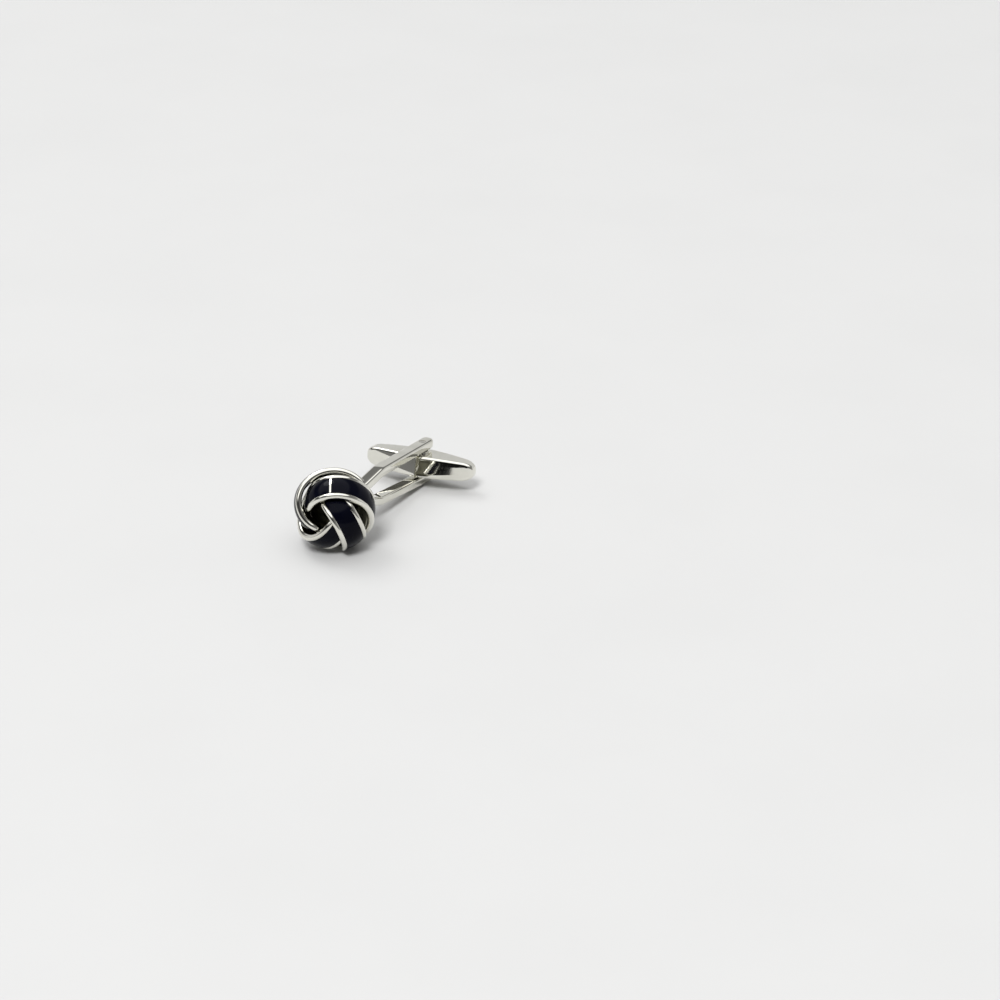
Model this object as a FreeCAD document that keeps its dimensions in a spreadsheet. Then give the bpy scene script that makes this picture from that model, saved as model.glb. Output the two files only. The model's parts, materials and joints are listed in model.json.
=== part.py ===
import FreeCAD, Part
import math
import os

import Sketcher
from FreeCAD import Placement, Rotation, Vector

doc = FreeCAD.newDocument("cufflink")

# Two places closer than this count as one
SAME_SPOT = 1e-4

# Driving dimensions, in millimetres and degrees
DIMENSIONS = {
    "knot_radius": 6.05,
    "strap_width": 3.9,
    "start_width": 2.3,
    "taper_first": -5.0,
    "taper_last": -60.0,
    "strap_thickness": 0.8,
    "strap_climb": 1.14,
    "climb_angle": 75.0,
    "strap_tilt": 43.4,
    "knot_spin": -40.5,
    "strap_start": -112.0,
    "strap_end": 155.0,
    "section_step": 10.0,
    "strap_count": 4,
    "rim_width": 0.8,
    "rim_height": 0.4,
    "rim_bevel": 0.2,
    "enamel_drop": 0.15,
    "enamel_start": -72.0,
    "enamel_end": 151.0,
    "seam_angle": 41.0,
    "seam_width": 0.26,
    "seam_drop": 0.06,
    "bond_gap": 0.02,
    "lap_gap": 0.05,
    "cup_rim_angle": 8.0,
    "seat_depth": 0.35,
    "stem_half": 1.2,
    "stem_length": 2.15,
    "split_half": 0.3,
    "shoulder_length": 5.0,
    "bend_half": 2.92,
    "bend_radius": 2.2,
    "reach": 24.3,
    "arm_width": 1.8,
    "arm_thickness": 1.15,
    "arm_overhang": 2.2,
    "tip_radius": 0.8,
    "tenon_radius": 0.5,
    "journal_radius": 0.95,
    "square_side": 1.3,
    "square_height": 1.6,
    "fit_clearance": 0.01,
    "running_clearance": 0.04,
    "end_play": 0.03,
    "toggle_length": 17.0,
    "toggle_width": 5.0,
    "toggle_end_width": 2.2,
    "toggle_nose_length": 0.7,
    "toggle_nose_width": 1.4,
    "toggle_height": 3.4,
    "toggle_end_height": 2.3,
    "toggle_play": 0.4,
    "toggle_rest": 8.0,
    "toggle_edge": 0.4,
    "toggle_step": 1.1,
    "slot_width": 2.4,
    "slot_depth": 1.25,
    "slot_height": 1.5,
    "spring_thickness": 0.2,
    "spring_front": 1.0,
    "spring_back": 1.3,
}

sheet = doc.addObject("Spreadsheet::Sheet", "sizes")
for row, (alias, value) in enumerate(DIMENSIONS.items(), start=1):
    sheet.set(f"A{row}", alias)
    sheet.set(f"B{row}", str(value))
    sheet.setAlias(f"B{row}", alias)
doc.recompute()


def size(alias):
    return float(sheet.get(alias))


def worth(formula):
    found = sheet.evalExpression(formula)
    return float(getattr(found, "Value", found))


# Sketch helpers: every vertex is held by two distances written as formulas of the sheet
def origin_plane(body, role):
    return next(f for f in body.Origin.OriginFeatures if f.Role == role)


def new_sketch(body, role, name):
    sketch = body.newObject("Sketcher::SketchObject", name)
    sketch.AttachmentSupport = [(origin_plane(body, role), "")]
    sketch.MapMode = "FlatFace"
    return sketch


def hold(sketch, kind, edge, end, formula):
    value = worth(formula)
    axis = -2 if kind == "DistanceX" else -1
    if abs(value) < SAME_SPOT:
        sketch.addConstraint(Sketcher.Constraint("PointOnObject", edge, end, axis))
        return
    if value > 0:
        rule = Sketcher.Constraint(kind, -1, 1, edge, end, value)
    else:
        rule = Sketcher.Constraint(kind, edge, end, -1, 1, -value)
        formula = f"-({formula})"
    index = sketch.addConstraint(rule)
    sketch.setExpression(f"Constraints[{index}]", formula)


def outline(sketch, corners, bulges=None, round_centres=None):
    """Closed outline; bulges gives the height of an arc standing on the edge after a corner,
    round_centres the height of the middle of an arc that is a half circle."""
    bulges = bulges or {}
    round_centres = round_centres or {}
    spots = [Vector(worth(a), worth(b), 0) for a, b in corners]
    starts = []
    for i, spot in enumerate(spots):
        after = spots[(i + 1) % len(spots)]
        if i not in bulges:
            edge = sketch.addGeometry(Part.LineSegment(spot, after), False)
            starts.append((edge, 1, 2))
            continue
        height = worth(bulges[i])
        side = Vector(after.y - spot.y, spot.x - after.x, 0).normalize()
        crown = (spot + after) * 0.5 + side * height
        ahead = (crown - spot).cross(after - crown).z > 0
        arc = Part.Arc(spot, crown, after) if ahead else Part.Arc(after, crown, spot)
        edge = sketch.addGeometry(arc, False)
        starts.append((edge, 1, 2) if ahead else (edge, 2, 1))
        if i in round_centres:
            hold(sketch, "DistanceY", edge, 3, round_centres[i])
            continue
        half = f"({chord(corners[i], corners[(i + 1) % len(corners)])}) / 2"
        rule = sketch.addConstraint(Sketcher.Constraint("Radius", edge, sketch.Geometry[edge].Radius))
        radius = f"(({half}) ^ 2 + ({bulges[i]}) ^ 2) / (2 * abs({bulges[i]}))"
        sketch.setExpression(f"Constraints[{rule}]", radius)
    for i, (edge, first, last) in enumerate(starts):
        following, follow_first, _ = starts[(i + 1) % len(starts)]
        sketch.addConstraint(Sketcher.Constraint("Coincident", edge, last, following, follow_first))
    for (edge, first, last), (a, b) in zip(starts, corners):
        hold(sketch, "DistanceX", edge, first, a)
        hold(sketch, "DistanceY", edge, first, b)


def chord(one, other):
    return f"sqrt(({other[0]} - ({one[0]})) ^ 2 + ({other[1]} - ({one[1]})) ^ 2)"


def disc(sketch, across, along, radius):
    edge = sketch.addGeometry(Part.Circle(Vector(worth(across), worth(along), 0), Vector(0, 0, 1), worth(radius)))
    hold(sketch, "DistanceX", edge, 3, across)
    hold(sketch, "DistanceY", edge, 3, along)
    rule = sketch.addConstraint(Sketcher.Constraint("Radius", edge, worth(radius)))
    sketch.setExpression(f"Constraints[{rule}]", radius)


def pad_both_sides(body, sketch, name, length):
    pad = body.newObject("PartDesign::Pad", name)
    pad.Profile = sketch
    pad.SideType = "Symmetric"
    pad.setExpression("Length", length)
    doc.recompute()
    return pad


def pocket_both_sides(body, sketch, name, length):
    pocket = body.newObject("PartDesign::Pocket", name)
    pocket.Profile = sketch
    pocket.SideType = "Symmetric"
    pocket.setExpression("Length", length)
    doc.recompute()
    return pocket


def round_edges(body, base, name, edges, radius):
    rounding = body.newObject("PartDesign::Fillet", name)
    rounding.Base = (base, edges)
    rounding.setExpression("Radius", radius)
    doc.recompute()
    return rounding


def edges_where(feature, test):
    return [f"Edge{i}" for i, e in enumerate(feature.Shape.Edges, start=1) if test(e)]


def middle(edge):
    return edge.valueAt((edge.FirstParameter + edge.LastParameter) / 2)


# Knot strap: a great circle tilted to the knot axis, climbing from under its neighbours to over them
def strap_frame(angle):
    tilt = math.radians(size("strap_tilt"))
    spin = math.radians(size("knot_spin"))
    turn = math.radians(angle)
    outward = Vector(math.sin(spin), 0, math.cos(spin))
    sideways = Vector(math.cos(spin), 0, -math.sin(spin))
    apex = Vector(0, -math.sin(tilt), 0) + outward * math.cos(tilt)
    normal = apex * math.cos(turn) + sideways * math.sin(turn)
    along = sideways * math.cos(turn) - apex * math.sin(turn)
    return normal, normal.cross(along)


def crest_radius(angle):
    share = max(-1.0, min(1.0, angle / size("climb_angle")))
    return size("knot_radius") - size("strap_climb") * (1 - math.sin(share * math.pi / 2))


def width_at(angle):
    share = (size("taper_first") - angle) / (size("taper_first") - size("taper_last"))
    share = max(0.0, min(1.0, share))
    ease = share * share * (3 - 2 * share)
    return size("strap_width") + (size("start_width") - size("strap_width")) * ease


def polar_points(angle, spots):
    normal, across = strap_frame(angle)
    return [(normal * math.cos(v) + across * math.sin(v)) * rho for rho, v in spots]


def strap_section(angle):
    crest = crest_radius(angle)
    floor = crest - size("rim_height")
    inner = crest - size("strap_thickness")
    outer_v = width_at(angle) / 2 / floor
    inner_v = outer_v - size("rim_width") / floor
    bevel_v = size("rim_bevel") / floor
    shoulder = crest - size("rim_bevel")
    rim = [(inner, outer_v), (shoulder, outer_v), (crest, outer_v - bevel_v), (crest, inner_v + bevel_v),
           (shoulder, inner_v), (floor, inner_v)]
    spots = [(rho, -v) for rho, v in rim] + rim[::-1]
    p = polar_points(angle, spots)
    bed, belly = polar_points(angle, [(floor, 0), (inner, 0)])
    edges = [Part.LineSegment(p[i], p[i + 1]) for i in range(5)] + [Part.Arc(p[5], bed, p[6])]
    edges += [Part.LineSegment(p[i], p[i + 1]) for i in range(6, 11)] + [Part.Arc(p[11], belly, p[0])]
    return Part.Wire([e.toShape() for e in edges])


def fill_section(angle, drop):
    crest = crest_radius(angle)
    floor = crest - size("rim_height") + size("bond_gap")
    top = crest - drop
    edge_v = (width_at(angle) / 2 - size("rim_width") - size("bond_gap")) / floor
    spots = [(floor, -edge_v), (top, -edge_v), (top, 0), (top, edge_v), (floor, edge_v), (floor, 0)]
    p = polar_points(angle, spots)
    edges = [Part.LineSegment(p[0], p[1]), Part.Arc(p[1], p[2], p[3]),
             Part.LineSegment(p[3], p[4]), Part.Arc(p[4], p[5], p[0])]
    return Part.Wire([e.toShape() for e in edges])


def stations(first, last):
    """Section angles shared by a strap and what lies in its channel, so that their facets run parallel."""
    step = size("section_step")
    count = round((size("strap_end") - size("strap_start")) / step)
    shared = [size("strap_start") + step * i for i in range(count + 1)]
    inner = [a for a in shared if first + step / 4 < a < last - step / 4]
    return [first] + inner + [last]


def sweep(section, first, last):
    solid = Part.makeLoft([section(a) for a in stations(first, last)], True, True)
    return solid if solid.Volume > 0 else solid.reversed()


def turned(share):
    return Placement(Vector(), Rotation(Vector(0, 1, 0), share * math.degrees(2 * math.pi) / size("strap_count")))


pieces = []


def shaped(name, shape, place):
    feature = doc.addObject("Part::Feature", name)
    feature.Shape = shape
    feature.Placement = place
    feature.Label = name
    pieces.append(feature)
    return feature


strap = sweep(strap_section, size("strap_start"), size("strap_end"))
for turn, side in enumerate(("top", "right", "bottom", "left")):
    shaped(f"knot_strap_{side}", strap, turned(turn))

# Enamel in the channels; a thin bar parts the enamel of the top strap in two
def enamel_section(angle):
    return fill_section(angle, size("enamel_drop"))


def seam_section(angle):
    return fill_section(angle, size("seam_drop"))


seam_half_angle = math.degrees(size("seam_width") / 2 / crest_radius(size("seam_angle")))
seam_gap_angle = math.degrees(size("bond_gap") / crest_radius(size("seam_angle")))
seam_first = size("seam_angle") - seam_half_angle
seam_last = size("seam_angle") + seam_half_angle
shaped("enamel_top_first", sweep(enamel_section, size("enamel_start"), seam_first - seam_gap_angle), turned(0))
shaped("seam_bar", sweep(seam_section, seam_first, seam_last), turned(0))
shaped("enamel_top_second", sweep(enamel_section, seam_last + seam_gap_angle, size("enamel_end")), turned(0))
enamel = sweep(enamel_section, size("enamel_start"), size("enamel_end"))
for turn, side in enumerate(("right", "bottom", "left"), start=1):
    shaped(f"enamel_{side}", enamel, turned(turn))

# Back cup: a thick spherical cup between the strap starts inside it and the strap ends outside it
facing_back = Rotation(Vector(1, 0, 0), -90)
cup_radius = "(sizes.knot_radius - sizes.strap_thickness - sizes.lap_gap)"
seat = f"({cup_radius} - sizes.seat_depth)"
cup_ball = doc.addObject("Part::Sphere", "cup_ball")
cup_ball.Placement = Placement(Vector(), facing_back)
cup_ball.setExpression("Radius", cup_radius)
cup_ball.setExpression("Angle1", "sizes.cup_rim_angle")
cup_ball.setExpression("Angle2", f"asin({seat} / {cup_radius})")
cup_hollow = doc.addObject("Part::Sphere", "cup_hollow")
cup_hollow.setExpression("Radius", "sizes.knot_radius - 2 * sizes.strap_climb + sizes.bond_gap")
cup = doc.addObject("Part::Cut", "back_cup")
cup.Base = cup_ball
cup.Tool = cup_hollow
pieces.append(cup)

# Fork: stem on the cup, two shoulders and two arms that open slightly towards the pin
fork = doc.addObject("PartDesign::Body", "fork")
pieces.append(fork)
split = f"({seat} + sizes.stem_length)"
bend = f"({split} + sizes.shoulder_length)"
tip = "(sizes.reach + sizes.arm_overhang)"
gap_half = "(sizes.toggle_height / 2 + sizes.toggle_play)"
splay = f"(({gap_half} + sizes.arm_thickness - sizes.bend_half) / (sizes.reach - {bend}))"
tip_half = f"(sizes.bend_half + {splay} * ({tip} - {bend}))"
fork_profile = new_sketch(fork, "YZ_Plane", "fork_profile")
outline(fork_profile, [
    (seat, "0"),
    (split, "0"),
    (split, "sizes.split_half"),
    (bend, "sizes.bend_half - sizes.arm_thickness"),
    (tip, f"{tip_half} - sizes.arm_thickness"),
    (tip, tip_half),
    (bend, "sizes.bend_half"),
    (seat, "sizes.stem_half"),
])
fork_pad = pad_both_sides(fork, fork_profile, "fork_pad", "sizes.arm_width")
fork_mirror = fork.newObject("PartDesign::Mirrored", "fork_mirror")
fork_mirror.Originals = [fork_pad]
fork_mirror.MirrorPlane = (origin_plane(fork, "XY_Plane"), [""])
fork.Tip = fork_mirror
doc.recompute()


def at_bend(edge):
    spot = middle(edge)
    return abs(spot.x) < SAME_SPOT and abs(spot.y - worth(bend)) < SAME_SPOT


def at_tip(edge):
    spot = middle(edge)
    return abs(spot.y - worth(tip)) < SAME_SPOT and abs(spot.x) > size("arm_width") / 3


fork_bends = round_edges(fork, fork_mirror, "fork_bends", edges_where(fork_mirror, at_bend), "sizes.bend_radius")
fork_tips = round_edges(fork, fork_bends, "fork_tips", edges_where(fork_bends, at_tip), "sizes.tip_radius")
hole_profile = new_sketch(fork, "XY_Plane", "hole_profile")
disc(hole_profile, "0", "sizes.reach", "sizes.tenon_radius + sizes.fit_clearance")
pocket_both_sides(fork, hole_profile, "pin_holes", "4 * sizes.toggle_height")

# Pivot pin: tenons in the arms, journals in the toggle, a square middle for the spring
pin_half = f"({gap_half} + sizes.arm_thickness - sizes.fit_clearance)"
pin_tenons = doc.addObject("Part::Cylinder", "pin_tenons")
pin_tenons.setExpression("Radius", "sizes.tenon_radius")
pin_tenons.setExpression("Height", f"2 * {pin_half}")
pin_tenons.setExpression("Placement.Base.z", f"-{pin_half}")
journal_height = f"({gap_half} - sizes.end_play - sizes.square_height / 2)"
pin_upper = doc.addObject("Part::Cylinder", "pin_upper")
pin_upper.setExpression("Placement.Base.z", "sizes.square_height / 2")
pin_lower = doc.addObject("Part::Cylinder", "pin_lower")
pin_lower.setExpression("Placement.Base.z", f"sizes.end_play - {gap_half}")
for journal in (pin_upper, pin_lower):
    journal.setExpression("Radius", "sizes.journal_radius")
    journal.setExpression("Height", journal_height)
pin_square = doc.addObject("Part::Box", "pin_square")
for side in ("Length", "Width"):
    pin_square.setExpression(side, "sizes.square_side")
pin_square.setExpression("Height", "sizes.square_height")
for along in ("x", "y"):
    pin_square.setExpression(f"Placement.Base.{along}", "-sizes.square_side / 2")
pin_square.setExpression("Placement.Base.z", "-sizes.square_height / 2")
pin = doc.addObject("Part::MultiFuse", "pivot_pin")
pin.Shapes = [pin_tenons, pin_upper, pin_lower, pin_square]
pin.Refine = True
pieces.append(pin)

# Toggle bar: a lozenge in plan, lower towards its blunt noses, with bevelled edges, a bore and a spring slot
def rise_over(place, half_chord, rise):
    """Height of a shallow arc over its chord."""
    radius = (half_chord ** 2 + rise ** 2) / (2 * rise)
    return math.sqrt(radius ** 2 - place ** 2) - (radius - rise)


def toggle_section(along):
    half_length = size("toggle_length") / 2
    shoulder = half_length - size("toggle_nose_length")
    end_half = size("toggle_end_width") / 2
    if abs(along) <= shoulder:
        across = end_half + rise_over(along, shoulder, size("toggle_width") / 2 - end_half)
    else:
        nose_share = (abs(along) - shoulder) / size("toggle_nose_length")
        across = end_half + (size("toggle_nose_width") / 2 - end_half) * nose_share
    end_height = size("toggle_end_height") / 2
    height = end_height + rise_over(along, half_length, size("toggle_height") / 2 - end_height)
    edge = size("toggle_edge")
    quarter = [(across, height - edge), (across - edge, height)]
    half = quarter + [(-y, z) for y, z in quarter[::-1]]
    ring = [Vector(along, y, z) for y, z in half + [(-y, -z) for y, z in half]]
    return Part.makePolygon(ring + ring[:1])


nose = size("toggle_length") / 2
shoulder = nose - size("toggle_nose_length")
section_count = round(2 * shoulder / size("toggle_step"))
places = [shoulder * (2 * i / section_count - 1) for i in range(section_count + 1)]
blank = doc.addObject("Part::Feature", "toggle_blank")
blank.Shape = Part.makeLoft([toggle_section(along) for along in [-nose] + places + [nose]], True, True)
bore = doc.addObject("Part::Cylinder", "toggle_bore")
bore.setExpression("Radius", "sizes.journal_radius + sizes.running_clearance")
bore.setExpression("Height", "2 * sizes.toggle_height")
bore.setExpression("Placement.Base.z", "-sizes.toggle_height")
slot = doc.addObject("Part::Box", "spring_slot")
slot.setExpression("Length", "sizes.slot_width")
slot.setExpression("Width", "sizes.slot_depth + sizes.toggle_width")
slot.setExpression("Height", "sizes.slot_height")
slot.setExpression("Placement.Base.x", "-sizes.slot_width / 2")
slot.setExpression("Placement.Base.y", "-sizes.slot_depth")
slot.setExpression("Placement.Base.z", "-sizes.slot_height / 2")
bored = doc.addObject("Part::Cut", "toggle_bored")
bored.Base = blank
bored.Tool = bore
toggle = doc.addObject("Part::Cut", "toggle_bar")
toggle.Base = bored
toggle.Tool = slot
pieces.append(toggle)

# Detent spring: a flat clip bent to a U that grips the square of the pin
spring = doc.addObject("PartDesign::Body", "detent_spring")
pieces.append(spring)
spring_profile = new_sketch(spring, "XY_Plane", "spring_profile")
inner_x = "(sizes.square_side / 2 + sizes.bond_gap)"
outer_x = f"({inner_x} + sizes.spring_thickness)"
outline(spring_profile, [
    (f"-{outer_x}", "-sizes.spring_front"), (f"-{inner_x}", "-sizes.spring_front"),
    (f"-{inner_x}", "sizes.spring_back"), (inner_x, "sizes.spring_back"),
    (inner_x, "-sizes.spring_front"), (outer_x, "-sizes.spring_front"),
    (outer_x, "sizes.spring_back"), (f"-{outer_x}", "sizes.spring_back"),
], {2: f"-{inner_x}", 6: outer_x}, {2: "sizes.spring_back", 6: "sizes.spring_back"})
pad_both_sides(spring, spring_profile, "spring_pad", "sizes.slot_height - 2 * sizes.bond_gap")
doc.recompute()

# Rest pose: the knot and the tip of the lower arm both touch the floor
fork_frame = {piece: piece.Placement for piece in pieces}
at_pivot = Placement(Vector(0, size("reach"), 0), Rotation(Vector(0, 0, 1), size("toggle_rest")))
for piece in (pin, toggle, spring):
    fork_frame[piece] = at_pivot


def lowest(members, rest):
    low = []
    for member in members:
        shape = member.Shape.copy()
        shape.Placement = rest * fork_frame[member]
        low.append(shape.optimalBoundingBox(False).ZMin)
    return min(low)


knot = [piece for piece in pieces if piece.Label.startswith("knot_strap")]
pitch = 0.0
for trial in range(4):
    tipped = Placement(Vector(), Rotation(Vector(1, 0, 0), -pitch))
    step_down = lowest([fork], tipped) - lowest(knot, tipped)
    pitch += math.degrees(math.atan2(step_down, size("reach") + size("arm_overhang")))
tipped = Placement(Vector(), Rotation(Vector(1, 0, 0), -pitch))
whole = FreeCAD.BoundBox()
for piece in pieces:
    shape = piece.Shape.copy()
    shape.Placement = tipped * fork_frame[piece]
    whole.add(shape.optimalBoundingBox(False))
rest = Placement(Vector(-whole.Center.x, -whole.Center.y, -whole.ZMin), Rotation()) * tipped
for piece in pieces:
    piece.Placement = rest * fork_frame[piece]
doc.recompute()

# Check every object, then write one file for each piece
for thing in doc.Objects:
    if "Invalid" in thing.State or "Error" in thing.State:
        raise RuntimeError(f"{thing.Name}: {thing.State}")
os.makedirs("parts", exist_ok=True)
for piece in pieces:
    if piece.Shape.isNull() or not piece.Shape.isValid() or len(piece.Shape.Solids) != 1:
        raise RuntimeError(f"{piece.Label}: not one valid solid")
    piece.Shape.exportStep(f"parts/{piece.Label}.step")
    box = piece.Shape.BoundBox
    print(f"{piece.Label:20s} volume {piece.Shape.Volume:8.3f}  z {box.ZMin:7.3f} to {box.ZMax:7.3f}")
print(f"pitch {pitch:.4f} degrees, size {whole.XLength:.3f} x {whole.YLength:.3f} x {whole.ZLength:.3f}")
print("knot centre", rest.Base, "pivot", (rest * at_pivot).Base)
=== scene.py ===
import json
import math

import bmesh
import bpy
from mathutils import Matrix, Vector


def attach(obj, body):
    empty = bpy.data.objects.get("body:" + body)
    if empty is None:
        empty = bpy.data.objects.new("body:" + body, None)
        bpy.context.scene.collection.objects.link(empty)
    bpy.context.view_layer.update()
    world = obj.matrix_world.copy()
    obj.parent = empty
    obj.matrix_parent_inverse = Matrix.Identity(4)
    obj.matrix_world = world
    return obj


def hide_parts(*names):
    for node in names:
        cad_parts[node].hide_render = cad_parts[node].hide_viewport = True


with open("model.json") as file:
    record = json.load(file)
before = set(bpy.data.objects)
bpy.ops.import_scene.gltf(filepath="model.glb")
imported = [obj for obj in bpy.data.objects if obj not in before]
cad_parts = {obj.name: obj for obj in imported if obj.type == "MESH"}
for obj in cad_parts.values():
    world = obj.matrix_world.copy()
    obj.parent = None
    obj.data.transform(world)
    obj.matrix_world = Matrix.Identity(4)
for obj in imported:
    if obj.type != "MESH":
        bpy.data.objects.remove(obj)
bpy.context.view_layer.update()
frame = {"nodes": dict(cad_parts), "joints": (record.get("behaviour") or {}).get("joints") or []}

# ---------------------------------------------------------------------------
# Knot straps: four silver bands with raised round rims, each bent on a ball.
# Every band starts under its neighbours, climbs, and ends on top of them, so
# the four lock into a knot. Faces that look into the knot, and each band's hidden
# start, are rougher and painted dark as shade.
# ---------------------------------------------------------------------------
MM = 0.001
FORK_REACH = 24.3 * MM
swivel = frame["joints"][0]
pin_axis = Vector(swivel["axis"])
fork_axis = pin_axis.cross(Vector((1, 0, 0)))
pin_middle = Vector(swivel["pos_m"])
knot_middle = pin_middle - fork_axis * FORK_REACH
link_turn = Matrix((Vector((1, 0, 0)), fork_axis, pin_axis)).transposed()
link_place = Matrix.Translation(knot_middle) @ link_turn.to_4x4()

KNOT_RADIUS = 6.05 * MM
STRAP_WIDTH = 4.1 * MM
STRAP_START_WIDTH = 2.3 * MM
STRAP_THICKNESS = 0.8 * MM
STRAP_CLIMB = 1.14 * MM
CLIMB_ANGLE = math.radians(75)
TAPER_FIRST = math.radians(-5)
TAPER_LAST = math.radians(-60)
STRAP_START = math.radians(-112)
STRAP_END = math.radians(168)
STRAP_TILT = math.radians(43.4)
KNOT_SPIN = math.radians(-40.5)
RIM_RADIUS = 0.44 * MM
STRAP_EASE = 0.12 * MM
STRAP_STEPS = 150
RIM_STEPS = 12
BED_STEPS = 10
# How far in from both faces the middle of a small round lies, as a share of its radius
ROUND_CUT = 0.3


def fine_marks_group():
    """Soft polish clouds and hairline marks, as a roughness, a height and a mask for the colour."""
    tree = bpy.data.node_groups.new("Fine marks", "ShaderNodeTree")
    for name in ("Cloud scale", "Hair scale", "Smooth", "Dull"):
        tree.interface.new_socket(name, in_out="INPUT", socket_type="NodeSocketFloat")
    tree.interface.new_socket("Hair stretch", in_out="INPUT", socket_type="NodeSocketVector")
    for name in ("Roughness", "Height", "Mask"):
        tree.interface.new_socket(name, in_out="OUTPUT", socket_type="NodeSocketFloat")
    nodes, links = tree.nodes, tree.links
    given = nodes.new("NodeGroupInput")
    place = nodes.new("ShaderNodeTexCoord")
    clouds = nodes.new("ShaderNodeTexNoise")
    clouds.inputs["Detail"].default_value = 4.0
    links.new(place.outputs["Object"], clouds.inputs["Vector"])
    links.new(given.outputs["Cloud scale"], clouds.inputs["Scale"])
    stretch = nodes.new("ShaderNodeMapping")
    links.new(place.outputs["Object"], stretch.inputs["Vector"])
    links.new(given.outputs["Hair stretch"], stretch.inputs["Scale"])
    hairs = nodes.new("ShaderNodeTexNoise")
    hairs.inputs["Detail"].default_value = 3.0
    hairs.inputs["Roughness"].default_value = 0.65
    links.new(stretch.outputs["Vector"], hairs.inputs["Vector"])
    links.new(given.outputs["Hair scale"], hairs.inputs["Scale"])
    mask = nodes.new("ShaderNodeMapRange")
    mask.inputs["From Min"].default_value = 0.42
    mask.inputs["From Max"].default_value = 0.68
    links.new(clouds.outputs["Fac"], mask.inputs["Value"])
    marked = nodes.new("ShaderNodeMath")
    marked.operation = "MULTIPLY"
    links.new(mask.outputs["Result"], marked.inputs[0])
    links.new(hairs.outputs["Fac"], marked.inputs[1])
    rough = nodes.new("ShaderNodeMapRange")
    links.new(marked.outputs["Value"], rough.inputs["Value"])
    links.new(given.outputs["Smooth"], rough.inputs["To Min"])
    links.new(given.outputs["Dull"], rough.inputs["To Max"])
    out = nodes.new("NodeGroupOutput")
    links.new(rough.outputs["Result"], out.inputs["Roughness"])
    links.new(hairs.outputs["Fac"], out.inputs["Height"])
    links.new(mask.outputs["Result"], out.inputs["Mask"])
    return tree


fine_marks = fine_marks_group()


def marked_finish(name, light, dark, smooth, dull, relief, cloud=300.0, hair=2500.0, stretch=(1, 1, 1)):
    """A surface whose colour, gloss and relief follow the fine marks: the material and its shader."""
    material = bpy.data.materials.new(name)
    material.use_nodes = True
    nodes, links = material.node_tree.nodes, material.node_tree.links
    shader = nodes["Principled BSDF"]
    marks = nodes.new("ShaderNodeGroup")
    marks.node_tree = fine_marks
    marks.inputs["Cloud scale"].default_value = cloud
    marks.inputs["Hair scale"].default_value = hair
    marks.inputs["Hair stretch"].default_value = stretch
    marks.inputs["Smooth"].default_value = smooth
    marks.inputs["Dull"].default_value = dull
    tint = nodes.new("ShaderNodeMix")
    tint.data_type = "RGBA"
    tint.inputs[6].default_value = (*light, 1.0)
    tint.inputs[7].default_value = (*dark, 1.0)
    links.new(marks.outputs["Mask"], tint.inputs[0])
    links.new(tint.outputs[2], shader.inputs["Base Color"])
    links.new(marks.outputs["Roughness"], shader.inputs["Roughness"])
    bump = nodes.new("ShaderNodeBump")
    bump.inputs["Strength"].default_value = 1.0
    bump.inputs["Distance"].default_value = relief
    links.new(marks.outputs["Height"], bump.inputs["Height"])
    links.new(bump.outputs["Normal"], shader.inputs["Normal"])
    return material, shader


SILVER_LIGHT = (0.80, 0.79, 0.725)
SILVER_DARK = (0.72, 0.71, 0.64)
silver, silver_shader = marked_finish("polished silver", SILVER_LIGHT, SILVER_DARK,
                                      smooth=0.04, dull=0.10, relief=0.0006 * MM)
silver_shader.inputs["Metallic"].default_value = 1.0
# Rougher silver with a dark colour: painted shade for the faces inside the knot and for the back cup
INNER_SHADE_LIGHT = (0.20, 0.195, 0.15)
INNER_SHADE_DARK = (0.12, 0.115, 0.085)
dull_shaded_silver, dull_shaded_shader = marked_finish("dull silver painted with shade", INNER_SHADE_LIGHT, INNER_SHADE_DARK,
                                         smooth=0.30, dull=0.45, relief=0.002 * MM)
dull_shaded_shader.inputs["Metallic"].default_value = 1.0
# Faces turned this much to the knot's middle, and each band up to this angle, get the painted shade
INWARD_SHARE = 0.8
SHADE_PAINTED_UNTIL = math.radians(-52)


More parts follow.
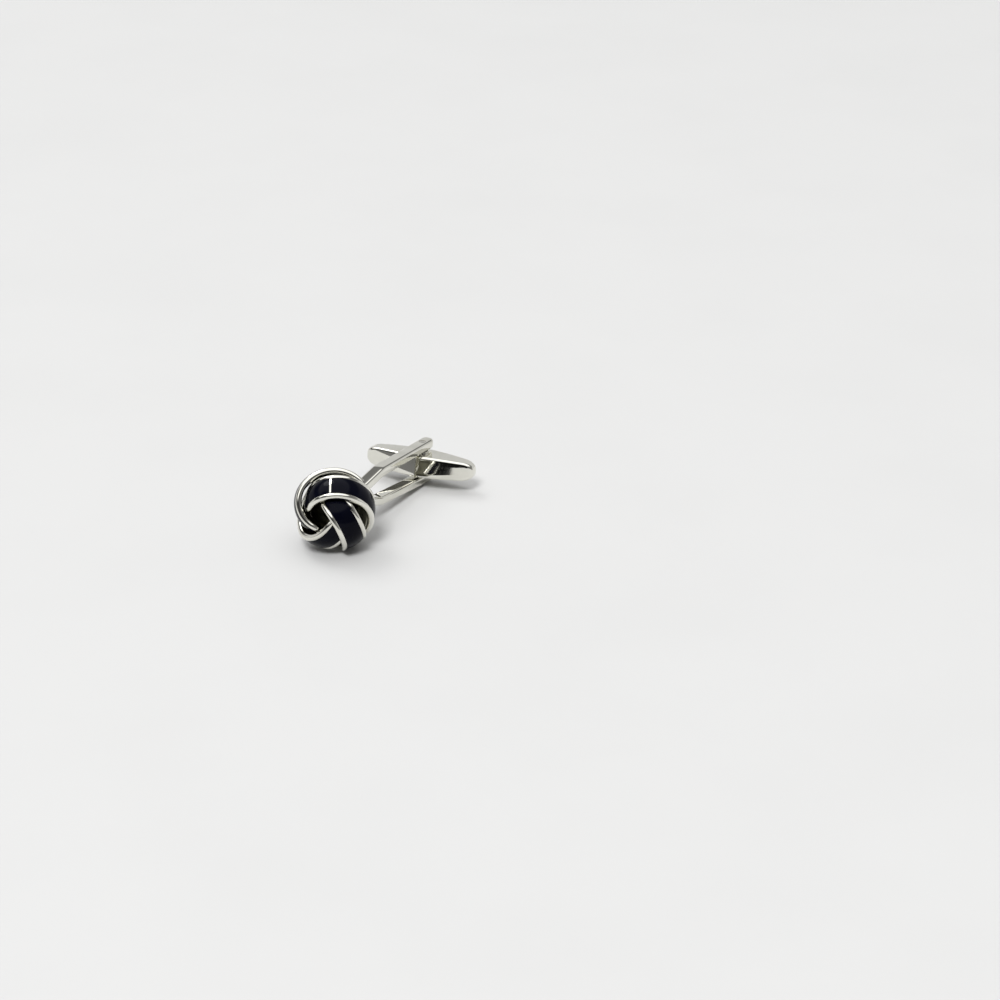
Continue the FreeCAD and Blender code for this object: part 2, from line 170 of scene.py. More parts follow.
def bend_on_knot_tree():
    """Bends a flat strip (x the angle, y the offset, z the height over the crest) on the knot's ball."""
    tree = bpy.data.node_groups.new("Bend on knot", "GeometryNodeTree")
    tree.interface.new_socket("Strip", in_out="INPUT", socket_type="NodeSocketGeometry")
    for name in ("Knot radius", "Climb", "Climb angle", "Channel depth", "Channel half", "Narrowing",
                 "Taper first", "Taper last"):
        tree.interface.new_socket(name, in_out="INPUT", socket_type="NodeSocketFloat")
    for name in ("Turn", "Place"):
        tree.interface.new_socket(name, in_out="INPUT", socket_type="NodeSocketVector")
    tree.interface.new_socket("Finish", in_out="INPUT", socket_type="NodeSocketMaterial")
    tree.interface.new_socket("Band", in_out="OUTPUT", socket_type="NodeSocketGeometry")
    nodes, links = tree.nodes, tree.links
    given = nodes.new("NodeGroupInput").outputs

    def worked(operation, first, second=None):
        node = nodes.new("ShaderNodeMath")
        node.operation = operation
        for socket, term in zip(node.inputs, (first, second)):
            if isinstance(term, (int, float)):
                socket.default_value = term
            elif term is not None:
                links.new(term, socket)
        return node.outputs[0]

    position = nodes.new("GeometryNodeInputPosition")
    parts = nodes.new("ShaderNodeSeparateXYZ")
    links.new(position.outputs[0], parts.inputs[0])
    angle, offset, height = parts.outputs

    # The channel narrows towards the hidden start, while the rims keep their width
    narrowing = nodes.new("ShaderNodeMapRange")
    narrowing.interpolation_type = "SMOOTHSTEP"
    links.new(angle, narrowing.inputs["Value"])
    links.new(given["Taper last"], narrowing.inputs["From Min"])
    links.new(given["Taper first"], narrowing.inputs["From Max"])
    links.new(given["Narrowing"], narrowing.inputs["To Min"])
    narrowing.inputs["To Max"].default_value = 0.0
    from_middle = worked("ABSOLUTE", offset)
    on_rim = worked("MAXIMUM", worked("SUBTRACT", from_middle, given["Channel half"]), 0)
    kept = worked("SUBTRACT", 1, worked("DIVIDE", narrowing.outputs["Result"], given["Channel half"]))
    in_channel = worked("MULTIPLY", worked("MINIMUM", from_middle, given["Channel half"]), kept)
    across = worked("MULTIPLY", worked("SIGN", offset), worked("ADD", on_rim, in_channel))

    # The crest climbs on a sine from under the neighbours to over them
    share = worked("DIVIDE", angle, given["Climb angle"])
    share = worked("MINIMUM", worked("MAXIMUM", share, -1), 1)
    rise = worked("SINE", worked("MULTIPLY", share, math.pi / 2))
    below = worked("MULTIPLY", given["Climb"], worked("SUBTRACT", 1, rise))
    crest = worked("SUBTRACT", given["Knot radius"], below)
    lean = worked("DIVIDE", across, worked("SUBTRACT", crest, given["Channel depth"]))
    reach = worked("ADD", crest, height)
    level = worked("MULTIPLY", reach, worked("COSINE", lean))
    bent = nodes.new("ShaderNodeCombineXYZ")
    links.new(worked("MULTIPLY", level, worked("COSINE", angle)), bent.inputs[0])
    links.new(worked("MULTIPLY", level, worked("SINE", angle)), bent.inputs[1])
    links.new(worked("MULTIPLY", reach, worked("SINE", lean)), bent.inputs[2])

    placed = nodes.new("GeometryNodeSetPosition")
    links.new(given["Strip"], placed.inputs["Geometry"])
    links.new(bent.outputs[0], placed.inputs["Position"])
    turn = nodes.new("FunctionNodeEulerToRotation")
    links.new(given["Turn"], turn.inputs[0])
    moved = nodes.new("GeometryNodeTransform")
    links.new(placed.outputs[0], moved.inputs["Geometry"])
    links.new(turn.outputs[0], moved.inputs["Rotation"])
    links.new(given["Place"], moved.inputs["Translation"])
    real = nodes.new("GeometryNodeRealizeInstances")
    links.new(moved.outputs[0], real.inputs[0])
    dressed = nodes.new("GeometryNodeSetMaterial")
    links.new(real.outputs[0], dressed.inputs["Geometry"])
    links.new(given["Finish"], dressed.inputs["Material"])
    out = nodes.new("NodeGroupOutput")
    links.new(dressed.outputs[0], out.inputs[0])
    return tree


bend_on_knot = bend_on_knot_tree()


def skinned(name, loops, material=None):
    """A closed mesh through loops of equally many points, with a face over each end."""
    count = len(loops[0])
    points = [point for loop in loops for point in loop]
    faces = [tuple(range(count))[::-1], tuple(range(len(points) - count, len(points)))]
    for first in range(0, len(points) - count, count):
        for i in range(count):
            here, after = first + i, first + (i + 1) % count
            faces.append((here, after, after + count, here + count))
    mesh = bpy.data.meshes.new(name)
    mesh.from_pydata([tuple(p) for p in points], [], faces)
    piece = bpy.data.objects.new(name, mesh)
    bpy.context.scene.collection.objects.link(piece)
    if material:
        mesh.materials.append(material)
    return piece


def smoothed(piece, angle=math.radians(38)):
    """Faces turned outwards and shaded smooth, with a crease where they meet at more than the angle."""
    shell = bmesh.new()
    shell.from_mesh(piece.data)
    bmesh.ops.recalc_face_normals(shell, faces=shell.faces)
    shell.to_mesh(piece.data)
    shell.free()
    piece.data.shade_smooth()
    piece.data.set_sharp_from_angle(angle=angle)
    return piece


def baked(piece):
    """The piece with what its modifiers make as a plain mesh."""
    seen = piece.evaluated_get(bpy.context.evaluated_depsgraph_get())
    mesh = bpy.data.meshes.new_from_object(seen)
    piece.modifiers.clear()
    piece.data = mesh
    return piece


def shade_painted(piece, tail):
    """Gives the rougher silver painted dark as shade to the first few faces, the tail, and to those that
    look inwards.
    """
    piece.data.materials.append(dull_shaded_silver)
    for face in piece.data.polygons:
        inward = (knot_middle - face.center).normalized()
        if face.index < tail or face.normal.dot(inward) > INWARD_SHARE:
            face.material_index = 1
    return piece


def knot_turn(quarter):
    """Turns the band's own axes (apex, sideways, across) into the row frame, for a quarter of the knot."""
    outward = Vector((math.sin(KNOT_SPIN), 0, math.cos(KNOT_SPIN)))
    sideways = Vector((math.cos(KNOT_SPIN), 0, -math.sin(KNOT_SPIN)))
    apex = Vector((0, -math.sin(STRAP_TILT), 0)) + outward * math.cos(STRAP_TILT)
    band = Matrix((apex, sideways, apex.cross(sideways))).transposed()
    return (link_turn @ Matrix.Rotation(quarter * math.pi / 2, 3, "Y") @ band).to_euler()


def on_knot(name, profile, first, last, steps, quarter, finish):
    """A band of the knot from a profile of (offset, height) swept between two angles."""
    angles = [first + (last - first) * i / steps for i in range(steps + 1)]
    strip = skinned(name, [[(a, offset, height) for offset, height in profile] for a in angles])
    modifier = strip.modifiers.new("bend", "NODES")
    modifier.node_group = bend_on_knot
    values = {"Knot radius": KNOT_RADIUS, "Climb": STRAP_CLIMB, "Climb angle": CLIMB_ANGLE,
              "Channel depth": RIM_RADIUS, "Channel half": STRAP_WIDTH / 2 - 2 * RIM_RADIUS,
              "Narrowing": (STRAP_WIDTH - STRAP_START_WIDTH) / 2, "Taper first": TAPER_FIRST,
              "Taper last": TAPER_LAST, "Turn": tuple(knot_turn(quarter)), "Place": tuple(knot_middle),
              "Finish": finish}
    for socket in bend_on_knot.interface.items_tree:
        if socket.in_out == "INPUT" and socket.name in values:
            modifier[socket.identifier] = values[socket.name]
    return smoothed(baked(strip))


def strap_profile():
    """Points round the band: eased lower edge, rim with its side, bed; then the same mirrored, and below."""
    half = STRAP_WIDTH / 2
    cut = STRAP_EASE * ROUND_CUT
    right = [(half - STRAP_EASE, -STRAP_THICKNESS), (half - cut, cut - STRAP_THICKNESS)]
    for i in range(RIM_STEPS + 1):
        turn = math.pi * i / RIM_STEPS
        drop = STRAP_THICKNESS - STRAP_EASE if 2 * i < RIM_STEPS else RIM_RADIUS
        right.append((half - RIM_RADIUS + RIM_RADIUS * math.cos(turn), drop * (math.sin(turn) - 1)))
    bed = half - 2 * RIM_RADIUS
    right += [(bed * (1 - 2 * i / BED_STEPS), -RIM_RADIUS) for i in range(1, BED_STEPS // 2)]
    left = [(-offset, height) for offset, height in right[::-1]]
    belly = half - STRAP_EASE
    under = [(belly * (2 * i / BED_STEPS - 1), -STRAP_THICKNESS) for i in range(1, BED_STEPS)]
    return right + [(0.0, -RIM_RADIUS)] + left + under


band_profile = strap_profile()
tail_share = (SHADE_PAINTED_UNTIL - STRAP_START) / (STRAP_END - STRAP_START)
tail_faces = round(tail_share * STRAP_STEPS) * len(band_profile)
for quarter, side in enumerate(("top", "right", "bottom", "left")):
    strap = on_knot(f"silver_band_{side}", band_profile, STRAP_START, STRAP_END, STRAP_STEPS,
                    quarter, silver)
    # Inward faces and the hidden start of the band get the silver painted dark as shade
    shade_painted(strap, tail_faces)
    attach(strap, "link")
    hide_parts(f"knot_strap_{side}")

# ---------------------------------------------------------------------------
# Enamel: glossy midnight blue enamel laid in the channel of each band, drawn
# up to the rims and slightly domed. A thin silver bar, soldered across the
# channel of the top band, parts its enamel in two.
# ---------------------------------------------------------------------------
ENAMEL_START = math.radians(-72)
ENAMEL_END = math.radians(164)
ENAMEL_EDGE = -0.15 * MM
ENAMEL_DOME = 0.06 * MM
ENAMEL_BED = -0.425 * MM
ENAMEL_TUCK = 0.07 * MM
ENAMEL_STEPS = 120
SEAM_ANGLE = math.radians(44)
SEAM_HALF = 0.13 * MM / KNOT_RADIUS
SEAM_TOP = -0.06 * MM
SEAM_DOME = ENAMEL_DOME / 3
SEAM_STEPS = 4
ENAMEL_DEEP = (0.0013, 0.0015, 0.0040)
ENAMEL_LIT = (0.0020, 0.0024, 0.0060)
enamel, enamel_shader = marked_finish("midnight enamel", ENAMEL_DEEP, ENAMEL_LIT, smooth=0.10, dull=0.18,
                                      relief=0.0015 * MM, cloud=220.0, hair=900.0)
enamel_shader.inputs["IOR"].default_value = 1.52
enamel_shader.inputs["Specular IOR Level"].default_value = 0.06


def filled_profile(top, dome):
    """A filling of the channel: a bed and a domed top that reaches a little way up the round rims."""
    bed = STRAP_WIDTH / 2 - 2 * RIM_RADIUS
    shares = [1 - 2 * i / BED_STEPS for i in range(BED_STEPS + 1)]
    crown = [((bed + ENAMEL_TUCK) * s, top + dome * (1 - s * s)) for s in shares]
    return crown + [(-bed * s, ENAMEL_BED) for s in shares]


enamel_profile = filled_profile(ENAMEL_EDGE, ENAMEL_DOME)
seam_first, seam_last = SEAM_ANGLE - SEAM_HALF, SEAM_ANGLE + SEAM_HALF
runs = [("top_first", 0, ENAMEL_START, seam_first), ("top_second", 0, seam_last, ENAMEL_END),
        ("right", 1, ENAMEL_START, ENAMEL_END), ("bottom", 2, ENAMEL_START, ENAMEL_END),
        ("left", 3, ENAMEL_START, ENAMEL_END)]
for label, quarter, first, last in runs:
    fill = on_knot(f"enamel_fill_{label}", enamel_profile, first, last, ENAMEL_STEPS, quarter, enamel)
    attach(fill, "link")
    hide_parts(f"enamel_{label}")
seam_profile = filled_profile(SEAM_TOP, SEAM_DOME)
seam = on_knot("silver_seam", seam_profile, seam_first, seam_last, SEAM_STEPS, 0, silver)
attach(seam, "link")
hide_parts("seam_bar")

# ---------------------------------------------------------------------------
# Back cup: a thick spun silver cup inside the knot, rougher and painted dark
# as shade where it shows between the bands. They start in its hollow and end on
# its outside, and the stem of the fork is soldered to it.
# ---------------------------------------------------------------------------
CUP_RADIUS = 5.2 * MM
CUP_HOLLOW = 3.79 * MM
CUP_RIM = CUP_RADIUS * math.sin(math.radians(8))
CUP_SEAT = 4.85 * MM
CUP_LIP = 0.15 * MM
CUP_LIP_RADIUS = CUP_RADIUS * 0.988
CUP_LIP_IN, CUP_LIP_DOWN = 0.4, 0.25
CUP_POLE = 0.02 * MM
CUP_HOLLOW_END = CUP_HOLLOW * 0.9999
CUP_TURNS = 96
CUP_OUTER_STEPS = 24
CUP_INNER_STEPS = 20


def arc_points(radius, low, high, steps):
    """Points (distance from the axis, place on the axis) of a sphere between two places on its axis."""
    first, last = math.asin(low / radius), math.asin(high / radius)
    angles = [first + (last - first) * i / steps for i in range(steps + 1)]
    return [(radius * math.cos(a), radius * math.sin(a)) for a in angles]


def spun(name, profile, turns, place, finish):
    """A solid turned about the fork's line from points (distance from the axis, place on the axis)."""
    angles = [2 * math.pi * i / turns for i in range(turns)]
    loops = []
    for radius, along in profile:
        loops.append([place @ Vector((radius * math.cos(a), along, radius * math.sin(a))) for a in angles])
    return smoothed(skinned(name, loops, finish))


cup_profile = [(CUP_POLE, CUP_SEAT)]
cup_profile += arc_points(CUP_RADIUS, CUP_RIM + CUP_LIP, CUP_SEAT, CUP_OUTER_STEPS)[::-1]
cup_profile.append((CUP_LIP_RADIUS - CUP_LIP * CUP_LIP_IN, CUP_RIM + CUP_LIP * CUP_LIP_DOWN))
cup_profile.append((CUP_LIP_RADIUS - CUP_LIP, CUP_RIM))
cup_profile += arc_points(CUP_HOLLOW, CUP_RIM, CUP_HOLLOW_END, CUP_INNER_STEPS)
# The cup gets the rougher silver painted dark as shade
cup = spun("silver_cup", cup_profile, CUP_TURNS, link_place, dull_shaded_silver)
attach(cup, "link")
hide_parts("back_cup")

# ---------------------------------------------------------------------------
# Fork: one silver casting, a stem that splits into two flat arms with round
# ends. The arms open a little towards the pin, and their edges are buffed.
# ---------------------------------------------------------------------------
STEM_HALF = 1.2 * MM
STEM_OVERLAP = STEM_HALF / 4
STEM_STOPS = (0.85, 0.96)
SPLIT_AT = 7.0 * MM
SPLIT_HALF = 0.3 * MM
CROTCH_REACH = SPLIT_HALF * 2
CROTCH_FADE = SPLIT_HALF / 4
CROTCH_STEPS = 12
BEND_AT = 12.0 * MM
BEND_HALF = 2.92 * MM
ARM_SPLAY = 0.02683
ARM_WIDTH = 1.95 * MM
ARM_THICKNESS = 1.35 * MM
ARM_FIRST = SPLIT_AT + 2.5 * SPLIT_HALF
ARM_END = 26.5 * MM
ARM_STEPS = 90
ARM_EDGE = 0.38 * MM
TIP_RADIUS = 0.95 * MM
TIP_EDGE_SHARE = 0.9
TIP_STEPS = 24
OUTER_EASE = 0.5 * MM
INNER_EASE = 0.7 * MM
CORNER_STEPS = 6
TENON_HOLE = 0.51 * MM
HOLE_STEPS = 64
TOGGLE_REST = math.radians(8)
pivot_place = Matrix.Translation(pin_middle) @ link_turn.to_4x4() @ Matrix.Rotation(TOGGLE_REST, 4, "Z")


def two_slopes(y, start, start_height, bend_height, ease):
    """Height of a line that climbs to the bend, eases round it, and then opens with the arm."""
    climb = (bend_height - start_height) / (BEND_AT - start)
    if y <= BEND_AT - ease:
        return start_height + climb * (y - start)
    if y >= BEND_AT + ease:
        return bend_height + ARM_SPLAY * (y - BEND_AT)
    into = y - (BEND_AT - ease)
    return start_height + climb * (y - start) - (climb - ARM_SPLAY) * into * into / (4 * ease)


def outer_height(y):
    """Distance of an arm's outside from the fork's line."""
    return two_slopes(y, CUP_SEAT, STEM_HALF, BEND_HALF, OUTER_EASE)


def inner_height(y):
    """Distance of an arm's inside from the fork's line; in the stem the two arms reach into each other."""
    if y < SPLIT_AT:
        return -STEM_OVERLAP
    crotch = CROTCH_REACH * math.exp(-(y - SPLIT_AT) / CROTCH_FADE)
    return two_slopes(y, SPLIT_AT, SPLIT_HALF, BEND_HALF - ARM_THICKNESS, INNER_EASE) - crotch


def rounded_rectangle(half_x, low, high, edge):
    """Points (x, z) round a rectangle with round corners."""
    points = []
    corners = ((half_x - edge, high - edge, 0), (edge - half_x, high - edge, 1),
               (edge - half_x, low + edge, 2), (half_x - edge, low + edge, 3))
    for x, z, quarter in corners:
        for i in range(CORNER_STEPS + 1):
            turn = (quarter + i / CORNER_STEPS) * math.pi / 2
            points.append((x + edge * math.cos(turn), z + edge * math.sin(turn)))
    return points


def arm_loops(mirror):
    """Sections of one arm from the cup to its round tip."""
    straight = ARM_END - TIP_RADIUS
    stops = [CUP_SEAT] + [SPLIT_AT * share for share in STEM_STOPS]
    stops += [SPLIT_AT + CROTCH_REACH * i / CROTCH_STEPS for i in range(CROTCH_STEPS + 1)]
    stops += [ARM_FIRST + (straight - ARM_FIRST) * i / ARM_STEPS for i in range(ARM_STEPS + 1)]
    loops = []
    for y in stops:
        ring = rounded_rectangle(ARM_WIDTH / 2, inner_height(y), outer_height(y), ARM_EDGE)
        loops.append([link_place @ Vector((x, y, mirror * z)) for x, z in ring])
    flat = ARM_WIDTH / 2 - TIP_RADIUS
    for i in range(1, TIP_STEPS + 1):
        turn = math.pi / 2 * i / TIP_STEPS
        y = straight + TIP_RADIUS * math.sin(turn)
        half = flat + TIP_RADIUS * math.cos(turn)
        over = max(0.0, (y - ARM_END + ARM_EDGE) / ARM_EDGE)
        inset = ARM_EDGE * (1 - math.sqrt(max(0.0, 1 - over * over)))
        edge = min(ARM_EDGE, half * TIP_EDGE_SHARE)
        ring = rounded_rectangle(half, inner_height(y) + inset, outer_height(y) - inset, edge)
        loops.append([link_place @ Vector((x, y, mirror * z)) for x, z in ring])
    return loops


def cut_or_joined(piece, tool, operation):
    """The piece with the tool cut from it or joined to it; the tool is used up."""
    modifier = piece.modifiers.new("work", "BOOLEAN")
    modifier.operation = operation
    modifier.object = tool
    modifier.solver = "EXACT"
    baked(piece)
    bpy.data.objects.remove(tool)
    return piece


def rod(name, radius, reach):
    """A plain round rod along the pin's line, for cutting holes."""
    angles = [2 * math.pi * i / HOLE_STEPS for i in range(HOLE_STEPS)]
    ring = [(radius * math.cos(a), radius * math.sin(a)) for a in angles]
    loops = [[pivot_place @ Vector((x, y, height)) for x, y in ring] for height in (-reach, reach)]
    return smoothed(skinned(name, loops))


fork = smoothed(skinned("silver_fork", arm_loops(1), silver))
lower_arm = smoothed(skinned("lower_arm", arm_loops(-1), silver))
cut_or_joined(fork, lower_arm, "UNION")
cut_or_joined(fork, rod("tenon_hole", TENON_HOLE, ARM_WIDTH * 2), "DIFFERENCE")
smoothed(fork)
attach(fork, "link")
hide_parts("fork")

# ---------------------------------------------------------------------------
# Pivot pin: a turned steel pin across the two arms. Its ends are riveted
# flush, its journals carry the toggle, and its square middle is the detent.
# ---------------------------------------------------------------------------
TENON_RADIUS = 0.5 * MM
TENON_ROUND = 0.06 * MM
JOURNAL_RADIUS = 0.95 * MM
ARM_GAP_HALF = 1.9 * MM
END_PLAY = 0.03 * MM
RIVET_SINK = 0.01 * MM
JOURNAL_END = ARM_GAP_HALF - END_PLAY
PIN_HALF = ARM_GAP_HALF + ARM_THICKNESS - RIVET_SINK
SQUARE_HALF = 0.65 * MM
SQUARE_REACH = 0.8 * MM
PIN_TURNS = 64
PIN_CREASE = math.radians(30)
PIN_LIGHT = (0.70, 0.69, 0.64)
PIN_DARK = (0.58, 0.57, 0.52)
pin_steel, pin_shader = marked_finish("pin steel", PIN_LIGHT, PIN_DARK, smooth=0.14, dull=0.28,
                                      relief=0.0015 * MM, cloud=700.0, hair=1800.0, stretch=(1, 1, 8))
pin_shader.inputs["Metallic"].default_value = 1.0


def pin_ring(radius, height, square):
    """Points round the pin at a height, on a circle or on a square."""
    ring = []
    for i in range(PIN_TURNS):
        turn = 2 * math.pi * (i + 0.5) / PIN_TURNS
        reach = radius / max(abs(math.cos(turn)), abs(math.sin(turn))) if square else radius
        ring.append(pivot_place @ Vector((reach * math.cos(turn), reach * math.sin(turn), height)))
    return ring


tenon_cut = TENON_ROUND * ROUND_CUT
pin_half = [(TENON_RADIUS - TENON_ROUND, PIN_HALF, False),
            (TENON_RADIUS - tenon_cut, PIN_HALF - tenon_cut, False),
            (TENON_RADIUS, PIN_HALF - TENON_ROUND, False), (TENON_RADIUS, JOURNAL_END, False),
            (JOURNAL_RADIUS, JOURNAL_END, False), (JOURNAL_RADIUS, SQUARE_REACH, False),
            (SQUARE_HALF, SQUARE_REACH, True)]
pin_rings = [pin_ring(radius, height, square) for radius, height, square in pin_half]
pin_rings += [pin_ring(radius, -height, square) for radius, height, square in pin_half[::-1]]
pin = smoothed(skinned("steel_pin", pin_rings, pin_steel), PIN_CREASE)
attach(pin, "link")
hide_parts("pivot_pin")

# ---------------------------------------------------------------------------
# Toggle: a solid silver lozenge, cast with nearly flat leaning sides that meet
# in a ridge at the pin, and with blunt noses. Its edges are buffed, and it is
# bored for the pin and slotted at the back for the spring.
# ---------------------------------------------------------------------------
TOGGLE_HALF = 8.5 * MM
TOGGLE_WIDE = 2.5 * MM
TOGGLE_END_WIDE = 1.1 * MM
TOGGLE_NOSE = 0.7 * MM
TOGGLE_NOSE_WIDE = 0.7 * MM
NOSE_ROUND = 0.32 * MM
TOGGLE_TALL = 1.58 * MM
TOGGLE_END_TALL = 1.30 * MM
TOGGLE_EDGE = 0.38 * MM
FACET_BULGE_SHARE = 0.35
DRAFT_SHARE = 0.20
DRAFT_FOOT = 0.5 * MM
NOSE_REACH = 1.7 * MM
NOSE_TALL_SHARE = 0.55
TOGGLE_BORE = 0.99 * MM
SLOT_HALF = 1.2 * MM
SLOT_DEPTH = 1.25 * MM
SLOT_TALL = 0.75 * MM
SIDE_STEPS = 80
SIDE_LEVELS = (0.0, 0.5)
NOSE_STEPS = 6
FACE_STEPS = 14
FACE_EYE = 0.01


def arc_height(place, half_chord, rise):
    """Height of a shallow arc over its chord."""
    radius = (half_chord ** 2 + rise ** 2) / (2 * rise)
    return math.sqrt(radius ** 2 - place ** 2) - (radius - rise)


def toggle_plan():
    """Points (x, y) round the lozenge seen along the pin."""
    shoulder = TOGGLE_HALF - TOGGLE_NOSE
    lower = []
    for i in range(SIDE_STEPS + 1):
        share = 2 * i / SIDE_STEPS - 1
        rise = (1 - abs(share)) * (1 + FACET_BULGE_SHARE * abs(share))
        lower.append((shoulder * share, -TOGGLE_END_WIDE - (TOGGLE_WIDE - TOGGLE_END_WIDE) * rise))
    corner = Vector((TOGGLE_HALF, -TOGGLE_NOSE_WIDE))
    before = corner + (Vector(lower[-1]) - corner).normalized() * NOSE_ROUND
    after = corner + Vector((0, NOSE_ROUND))
    bend = []
    for i in range(NOSE_STEPS + 1):
        share = i / NOSE_STEPS
        bend.append(before * (1 - share) ** 2 + corner * 2 * share * (1 - share) + after * share ** 2)
    nose = [(p.x, p.y) for p in bend] + [(TOGGLE_HALF, 0.0)] + [(p.x, -p.y) for p in bend[::-1]]
    half = lower + nose
    return half + [(-x, -y) for x, y in half]


def crown_height(x):
    """Half of the bar's height: a shallow crown that rounds off towards the noses."""
    place = min(abs(x), TOGGLE_HALF)
    crown = TOGGLE_END_TALL + arc_height(place, TOGGLE_HALF, TOGGLE_TALL - TOGGLE_END_TALL)
    into = max(0.0, place - TOGGLE_HALF + NOSE_REACH) / NOSE_REACH
    return crown * math.sqrt(1 - (1 - NOSE_TALL_SHARE ** 2) * into ** 2)


def toggle_loops():
    """Loops from the middle of the lower face, out and up the side, to the middle of the upper face."""
    plan = toggle_plan()
    inward = []
    for i in range(len(plan)):
        before, after = plan[i - 1], plan[(i + 1) % len(plan)]
        along = Vector((after[0] - before[0], after[1] - before[1])).normalized()
        inward.append((-along.y, along.x))

    def loop(inset, shrink, level):
        points = []
        for (x, y), (ix, iy) in zip(plan, inward):
            px, py = (x + ix * inset) * shrink, (y + iy * inset) * shrink
            points.append((px, py, level(px)))
        return points

    def placed(x, y, z):
        lean = 1 - DRAFT_SHARE * (z + DRAFT_FOOT) / TOGGLE_WIDE
        return pivot_place @ Vector((x, y * lean, z))

    upper = [loop(0.0, 1.0, lambda x, s=s: (crown_height(x) - TOGGLE_EDGE) * s) for s in SIDE_LEVELS]
    for i in range(CORNER_STEPS + 1):
        turn = math.pi / 2 * i / CORNER_STEPS
        inset = TOGGLE_EDGE * (1 - math.cos(turn))
        drop = TOGGLE_EDGE * (1 - math.sin(turn))
        upper.append(loop(inset, 1.0, lambda x, d=drop: crown_height(x) - d))
    upper += [loop(TOGGLE_EDGE, 1 - i / FACE_STEPS, crown_height) for i in range(1, FACE_STEPS)]
    upper.append(loop(TOGGLE_EDGE, FACE_EYE, crown_height))
    lower = [[(x, y, -z) for x, y, z in ring] for ring in upper[1:]]
    return [[placed(*point) for point in ring] for ring in lower[::-1] + upper]


toggle = smoothed(skinned("silver_toggle", toggle_loops(), silver))
cut_or_joined(toggle, rod("toggle_bore", TOGGLE_BORE, TOGGLE_TALL * 2), "DIFFERENCE")
slot_ring = [(-SLOT_HALF, -SLOT_DEPTH), (SLOT_HALF, -SLOT_DEPTH), (SLOT_HALF, TOGGLE_WIDE * 2),
             (-SLOT_HALF, TOGGLE_WIDE * 2)]
slot_loops = [[pivot_place @ Vector((x, y, z)) for x, y in slot_ring] for z in (-SLOT_TALL, SLOT_TALL)]
cut_or_joined(toggle, smoothed(skinned("spring_slot", slot_loops)), "DIFFERENCE")
smoothed(toggle)
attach(toggle, "toggle")
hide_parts("toggle_bar")

# ---------------------------------------------------------------------------
# Detent spring: a strip of spring steel bent to a U, pushed into the slot of
# the toggle so that its legs grip the square of the pin.
# ---------------------------------------------------------------------------
SPRING_LIGHT = (0.42, 0.41, 0.40)
SPRING_DARK = (0.30, 0.30, 0.31)
spring_steel, spring_shader = marked_finish("spring steel", SPRING_LIGHT, SPRING_DARK,
                                            smooth=0.22, dull=0.42, relief=0.002 * MM,
                                            cloud=900.0, hair=2200.0, stretch=(1, 1, 10))
spring_shader.inputs["Metallic"].default_value = 1.0
spring = frame["nodes"]["detent_spring"]
spring.data.materials.clear()
spring.data.materials.append(spring_steel)

# ---------------------------------------------------------------------------
# Studio: a pale table under a bright sky cloth, with paper behind, a dark door
# and two dark flags in front. A soft box and a front fill light the table, and
# the camera stands in front of the knot, looking down along the fork.
# ---------------------------------------------------------------------------
FLOOR_HALF = 2.0
FLOOR_PALE = (0.525, 0.525, 0.522)
FLOOR_FLECK = 0.985
floor_mesh = bpy.data.meshes.new("table")
floor_corners = [(x * FLOOR_HALF, y * FLOOR_HALF, 0) for x, y in ((-1, -1), (1, -1), (1, 1), (-1, 1))]
floor_mesh.from_pydata(floor_corners, [], [(0, 1, 2, 3)])
floor = bpy.data.objects.new("table", floor_mesh)
bpy.context.scene.collection.objects.link(floor)
paper, paper_shader = marked_finish("pale paper", FLOOR_PALE, tuple(FLOOR_FLECK * c for c in FLOOR_PALE),
                                    smooth=0.75, dull=0.85, relief=0.002 * MM, cloud=30.0, hair=800.0)
paper_shader.inputs["Specular IOR Level"].default_value = 0.2
floor_mesh.materials.append(paper)

PAPER = 0.66
PAPER_SIDE = (-0.35, 0.94, 0.0)
PAPER_REACH = (-0.45, 0.20)
PAPER_TOP = (0.50, 0.42)
GAP = 0.20
ROOM = 0.05
ROOM_SIDE = (-0.45, -0.87, 0.22)
ROOM_REACH = (0.10, 0.45)
ROOM_FOOT = (0.22, 0.34)
SKY = 1.45
SKY_SIDE = (-0.14, -0.12, 0.98)
SKY_REACH = (0.62, 0.73)
LOW_FLAG = 0.008
LOW_FLAG_SIDE = (0.11, -0.99, 0.06)
LOW_FLAG_REACH = (0.93, 0.955)
HIGH_FLAG = 0.12
HIGH_FLAG_SIDE = (-0.46, -0.60, 0.65)
HIGH_FLAG_REACH = (0.965, 0.985)
UP = (0, 0, 1)
world = bpy.data.worlds.new("white tent with a dark door")
world.use_nodes = True
nodes, links = world.node_tree.nodes, world.node_tree.links
looking = nodes.new("ShaderNodeTexCoord")


def faded(axis, reach):
    """A soft mask, from 0 to 1 as the looking direction's share along the axis crosses the reach."""
    share = nodes.new("ShaderNodeVectorMath")
    share.operation = "DOT_PRODUCT"
    share.inputs[1].default_value = Vector(axis).normalized()
    links.new(looking.outputs["Generated"], share.inputs[0])
    mask = nodes.new("ShaderNodeMapRange")
    mask.interpolation_type = "SMOOTHSTEP"
    mask.inputs["From Min"].default_value, mask.inputs["From Max"].default_value = reach
    links.new(share.outputs["Value"], mask.inputs["Value"])
    return mask.outputs["Result"]


def toned(mask, below, level):
    """The tone below, or the level where the mask is on."""
    tone = nodes.new("ShaderNodeMix")
    links.new(mask, tone.inputs[0])
    if isinstance(below, float):
        tone.inputs[2].default_value = below
    else:
        links.new(below, tone.inputs[2])
    tone.inputs[3].default_value = level
    return tone.outputs[0]


def both(first, second):
    """A mask that is on where two masks are."""
    shared = nodes.new("ShaderNodeMath")
    shared.operation = "MULTIPLY"
    links.new(first, shared.inputs[0])
    links.new(second, shared.inputs[1])
    return shared.outputs[0]


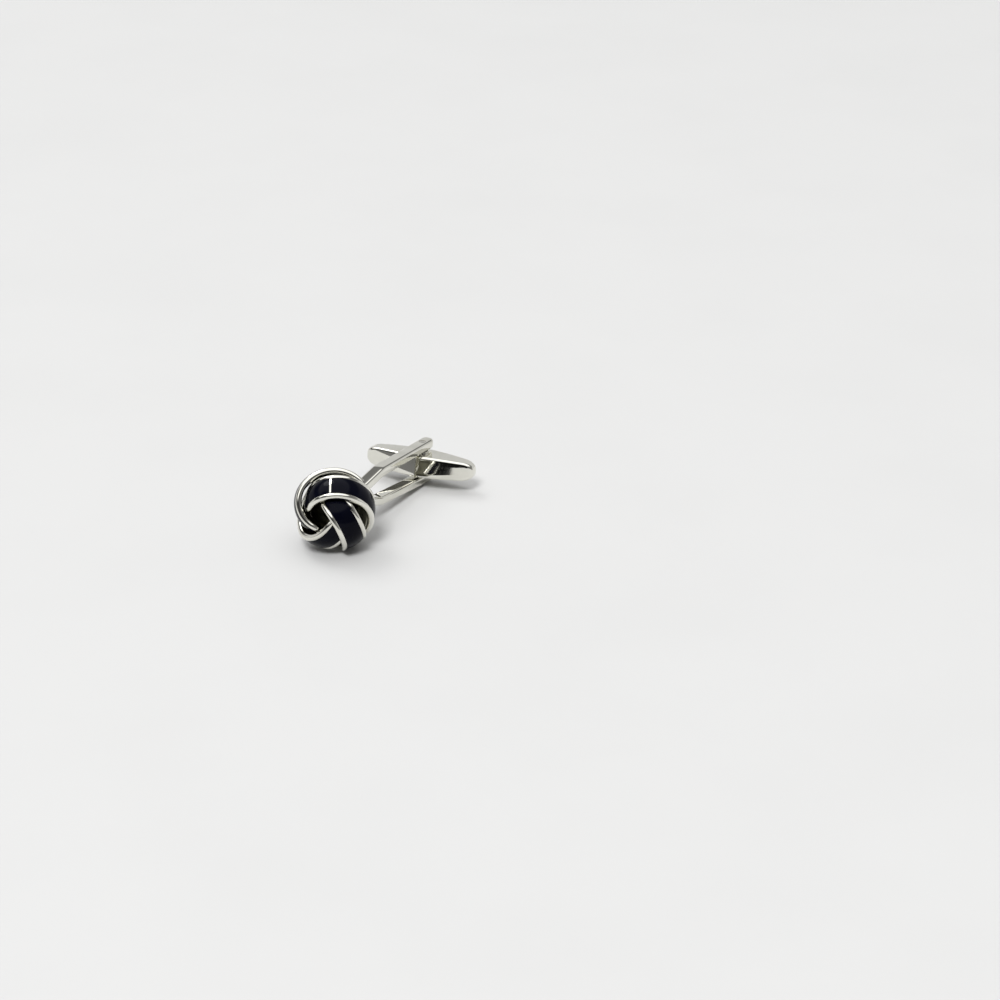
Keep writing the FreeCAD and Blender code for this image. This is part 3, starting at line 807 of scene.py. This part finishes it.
surround = toned(both(faded(UP, PAPER_TOP), faded(PAPER_SIDE, PAPER_REACH)), GAP, PAPER)
surround = toned(both(faded(ROOM_SIDE, ROOM_REACH), faded(UP, ROOM_FOOT)), surround, ROOM)
surround = toned(faded(SKY_SIDE, SKY_REACH), surround, SKY)
surround = toned(faded(LOW_FLAG_SIDE, LOW_FLAG_REACH), surround, LOW_FLAG)
surround = toned(faded(HIGH_FLAG_SIDE, HIGH_FLAG_REACH), surround, HIGH_FLAG)
links.new(surround, nodes["Background"].inputs["Color"])
bpy.context.scene.world = world

BOX_SIZE = 0.8
BOX_POWER = 6.0
BOX_PLACE = (-0.95, 0.30, 1.45)
FILL_SIZE = 1.0
FILL_POWER = 83.0
FILL_PLACE = (0.518, -1.933, 2.560)


def soft_lamp(name, size, power, place):
    """A round soft lamp that is turned to the part."""
    data = bpy.data.lights.new(name, "AREA")
    data.shape = "DISK"
    data.size = size
    data.energy = power
    lamp = bpy.data.objects.new(name, data)
    lamp.location = place
    lamp.rotation_euler = (-lamp.location).to_track_quat("-Z", "Y").to_euler()
    bpy.context.scene.collection.objects.link(lamp)
    return lamp


soft_lamp("soft box", BOX_SIZE, BOX_POWER, BOX_PLACE)
# The fill lights matt surfaces, which is mostly the table: the metal doesn't mirror it
front_fill = soft_lamp("front fill", FILL_SIZE, FILL_POWER, FILL_PLACE)
front_fill.visible_glossy = False
bpy.context.scene.view_settings.view_transform = "Standard"

VIEW_AZIMUTH = math.radians(29.5)
VIEW_ELEVATION = math.radians(26)
SENSOR = 36.0
LENS = 108.0
IMAGE_SIDE = 1000
KNOT_PIXEL = (333.5, 509.5)
VIEW_DISTANCE = 0.4243
CLIP_START = 0.01
forward = Vector((-math.sin(VIEW_AZIMUTH) * math.cos(VIEW_ELEVATION),
                  math.cos(VIEW_AZIMUTH) * math.cos(VIEW_ELEVATION), -math.sin(VIEW_ELEVATION)))
right = Vector((math.cos(VIEW_AZIMUTH), math.sin(VIEW_AZIMUTH), 0))
upward = right.cross(forward)
pixels_per_slope = IMAGE_SIDE * LENS / SENSOR
aside = (KNOT_PIXEL[0] - IMAGE_SIDE / 2) / pixels_per_slope * VIEW_DISTANCE
above = (IMAGE_SIDE / 2 - KNOT_PIXEL[1]) / pixels_per_slope * VIEW_DISTANCE
camera_data = bpy.data.cameras.new("camera")
camera_data.lens = LENS
camera_data.sensor_width = SENSOR
camera_data.clip_start = CLIP_START
camera = bpy.data.objects.new("camera", camera_data)
camera_place = knot_middle - forward * VIEW_DISTANCE - right * aside - upward * above
camera_turn = Matrix((right, upward, -forward)).transposed()
camera.matrix_world = Matrix.Translation(camera_place) @ camera_turn.to_4x4()
bpy.context.scene.collection.objects.link(camera)
bpy.context.scene.camera = camera
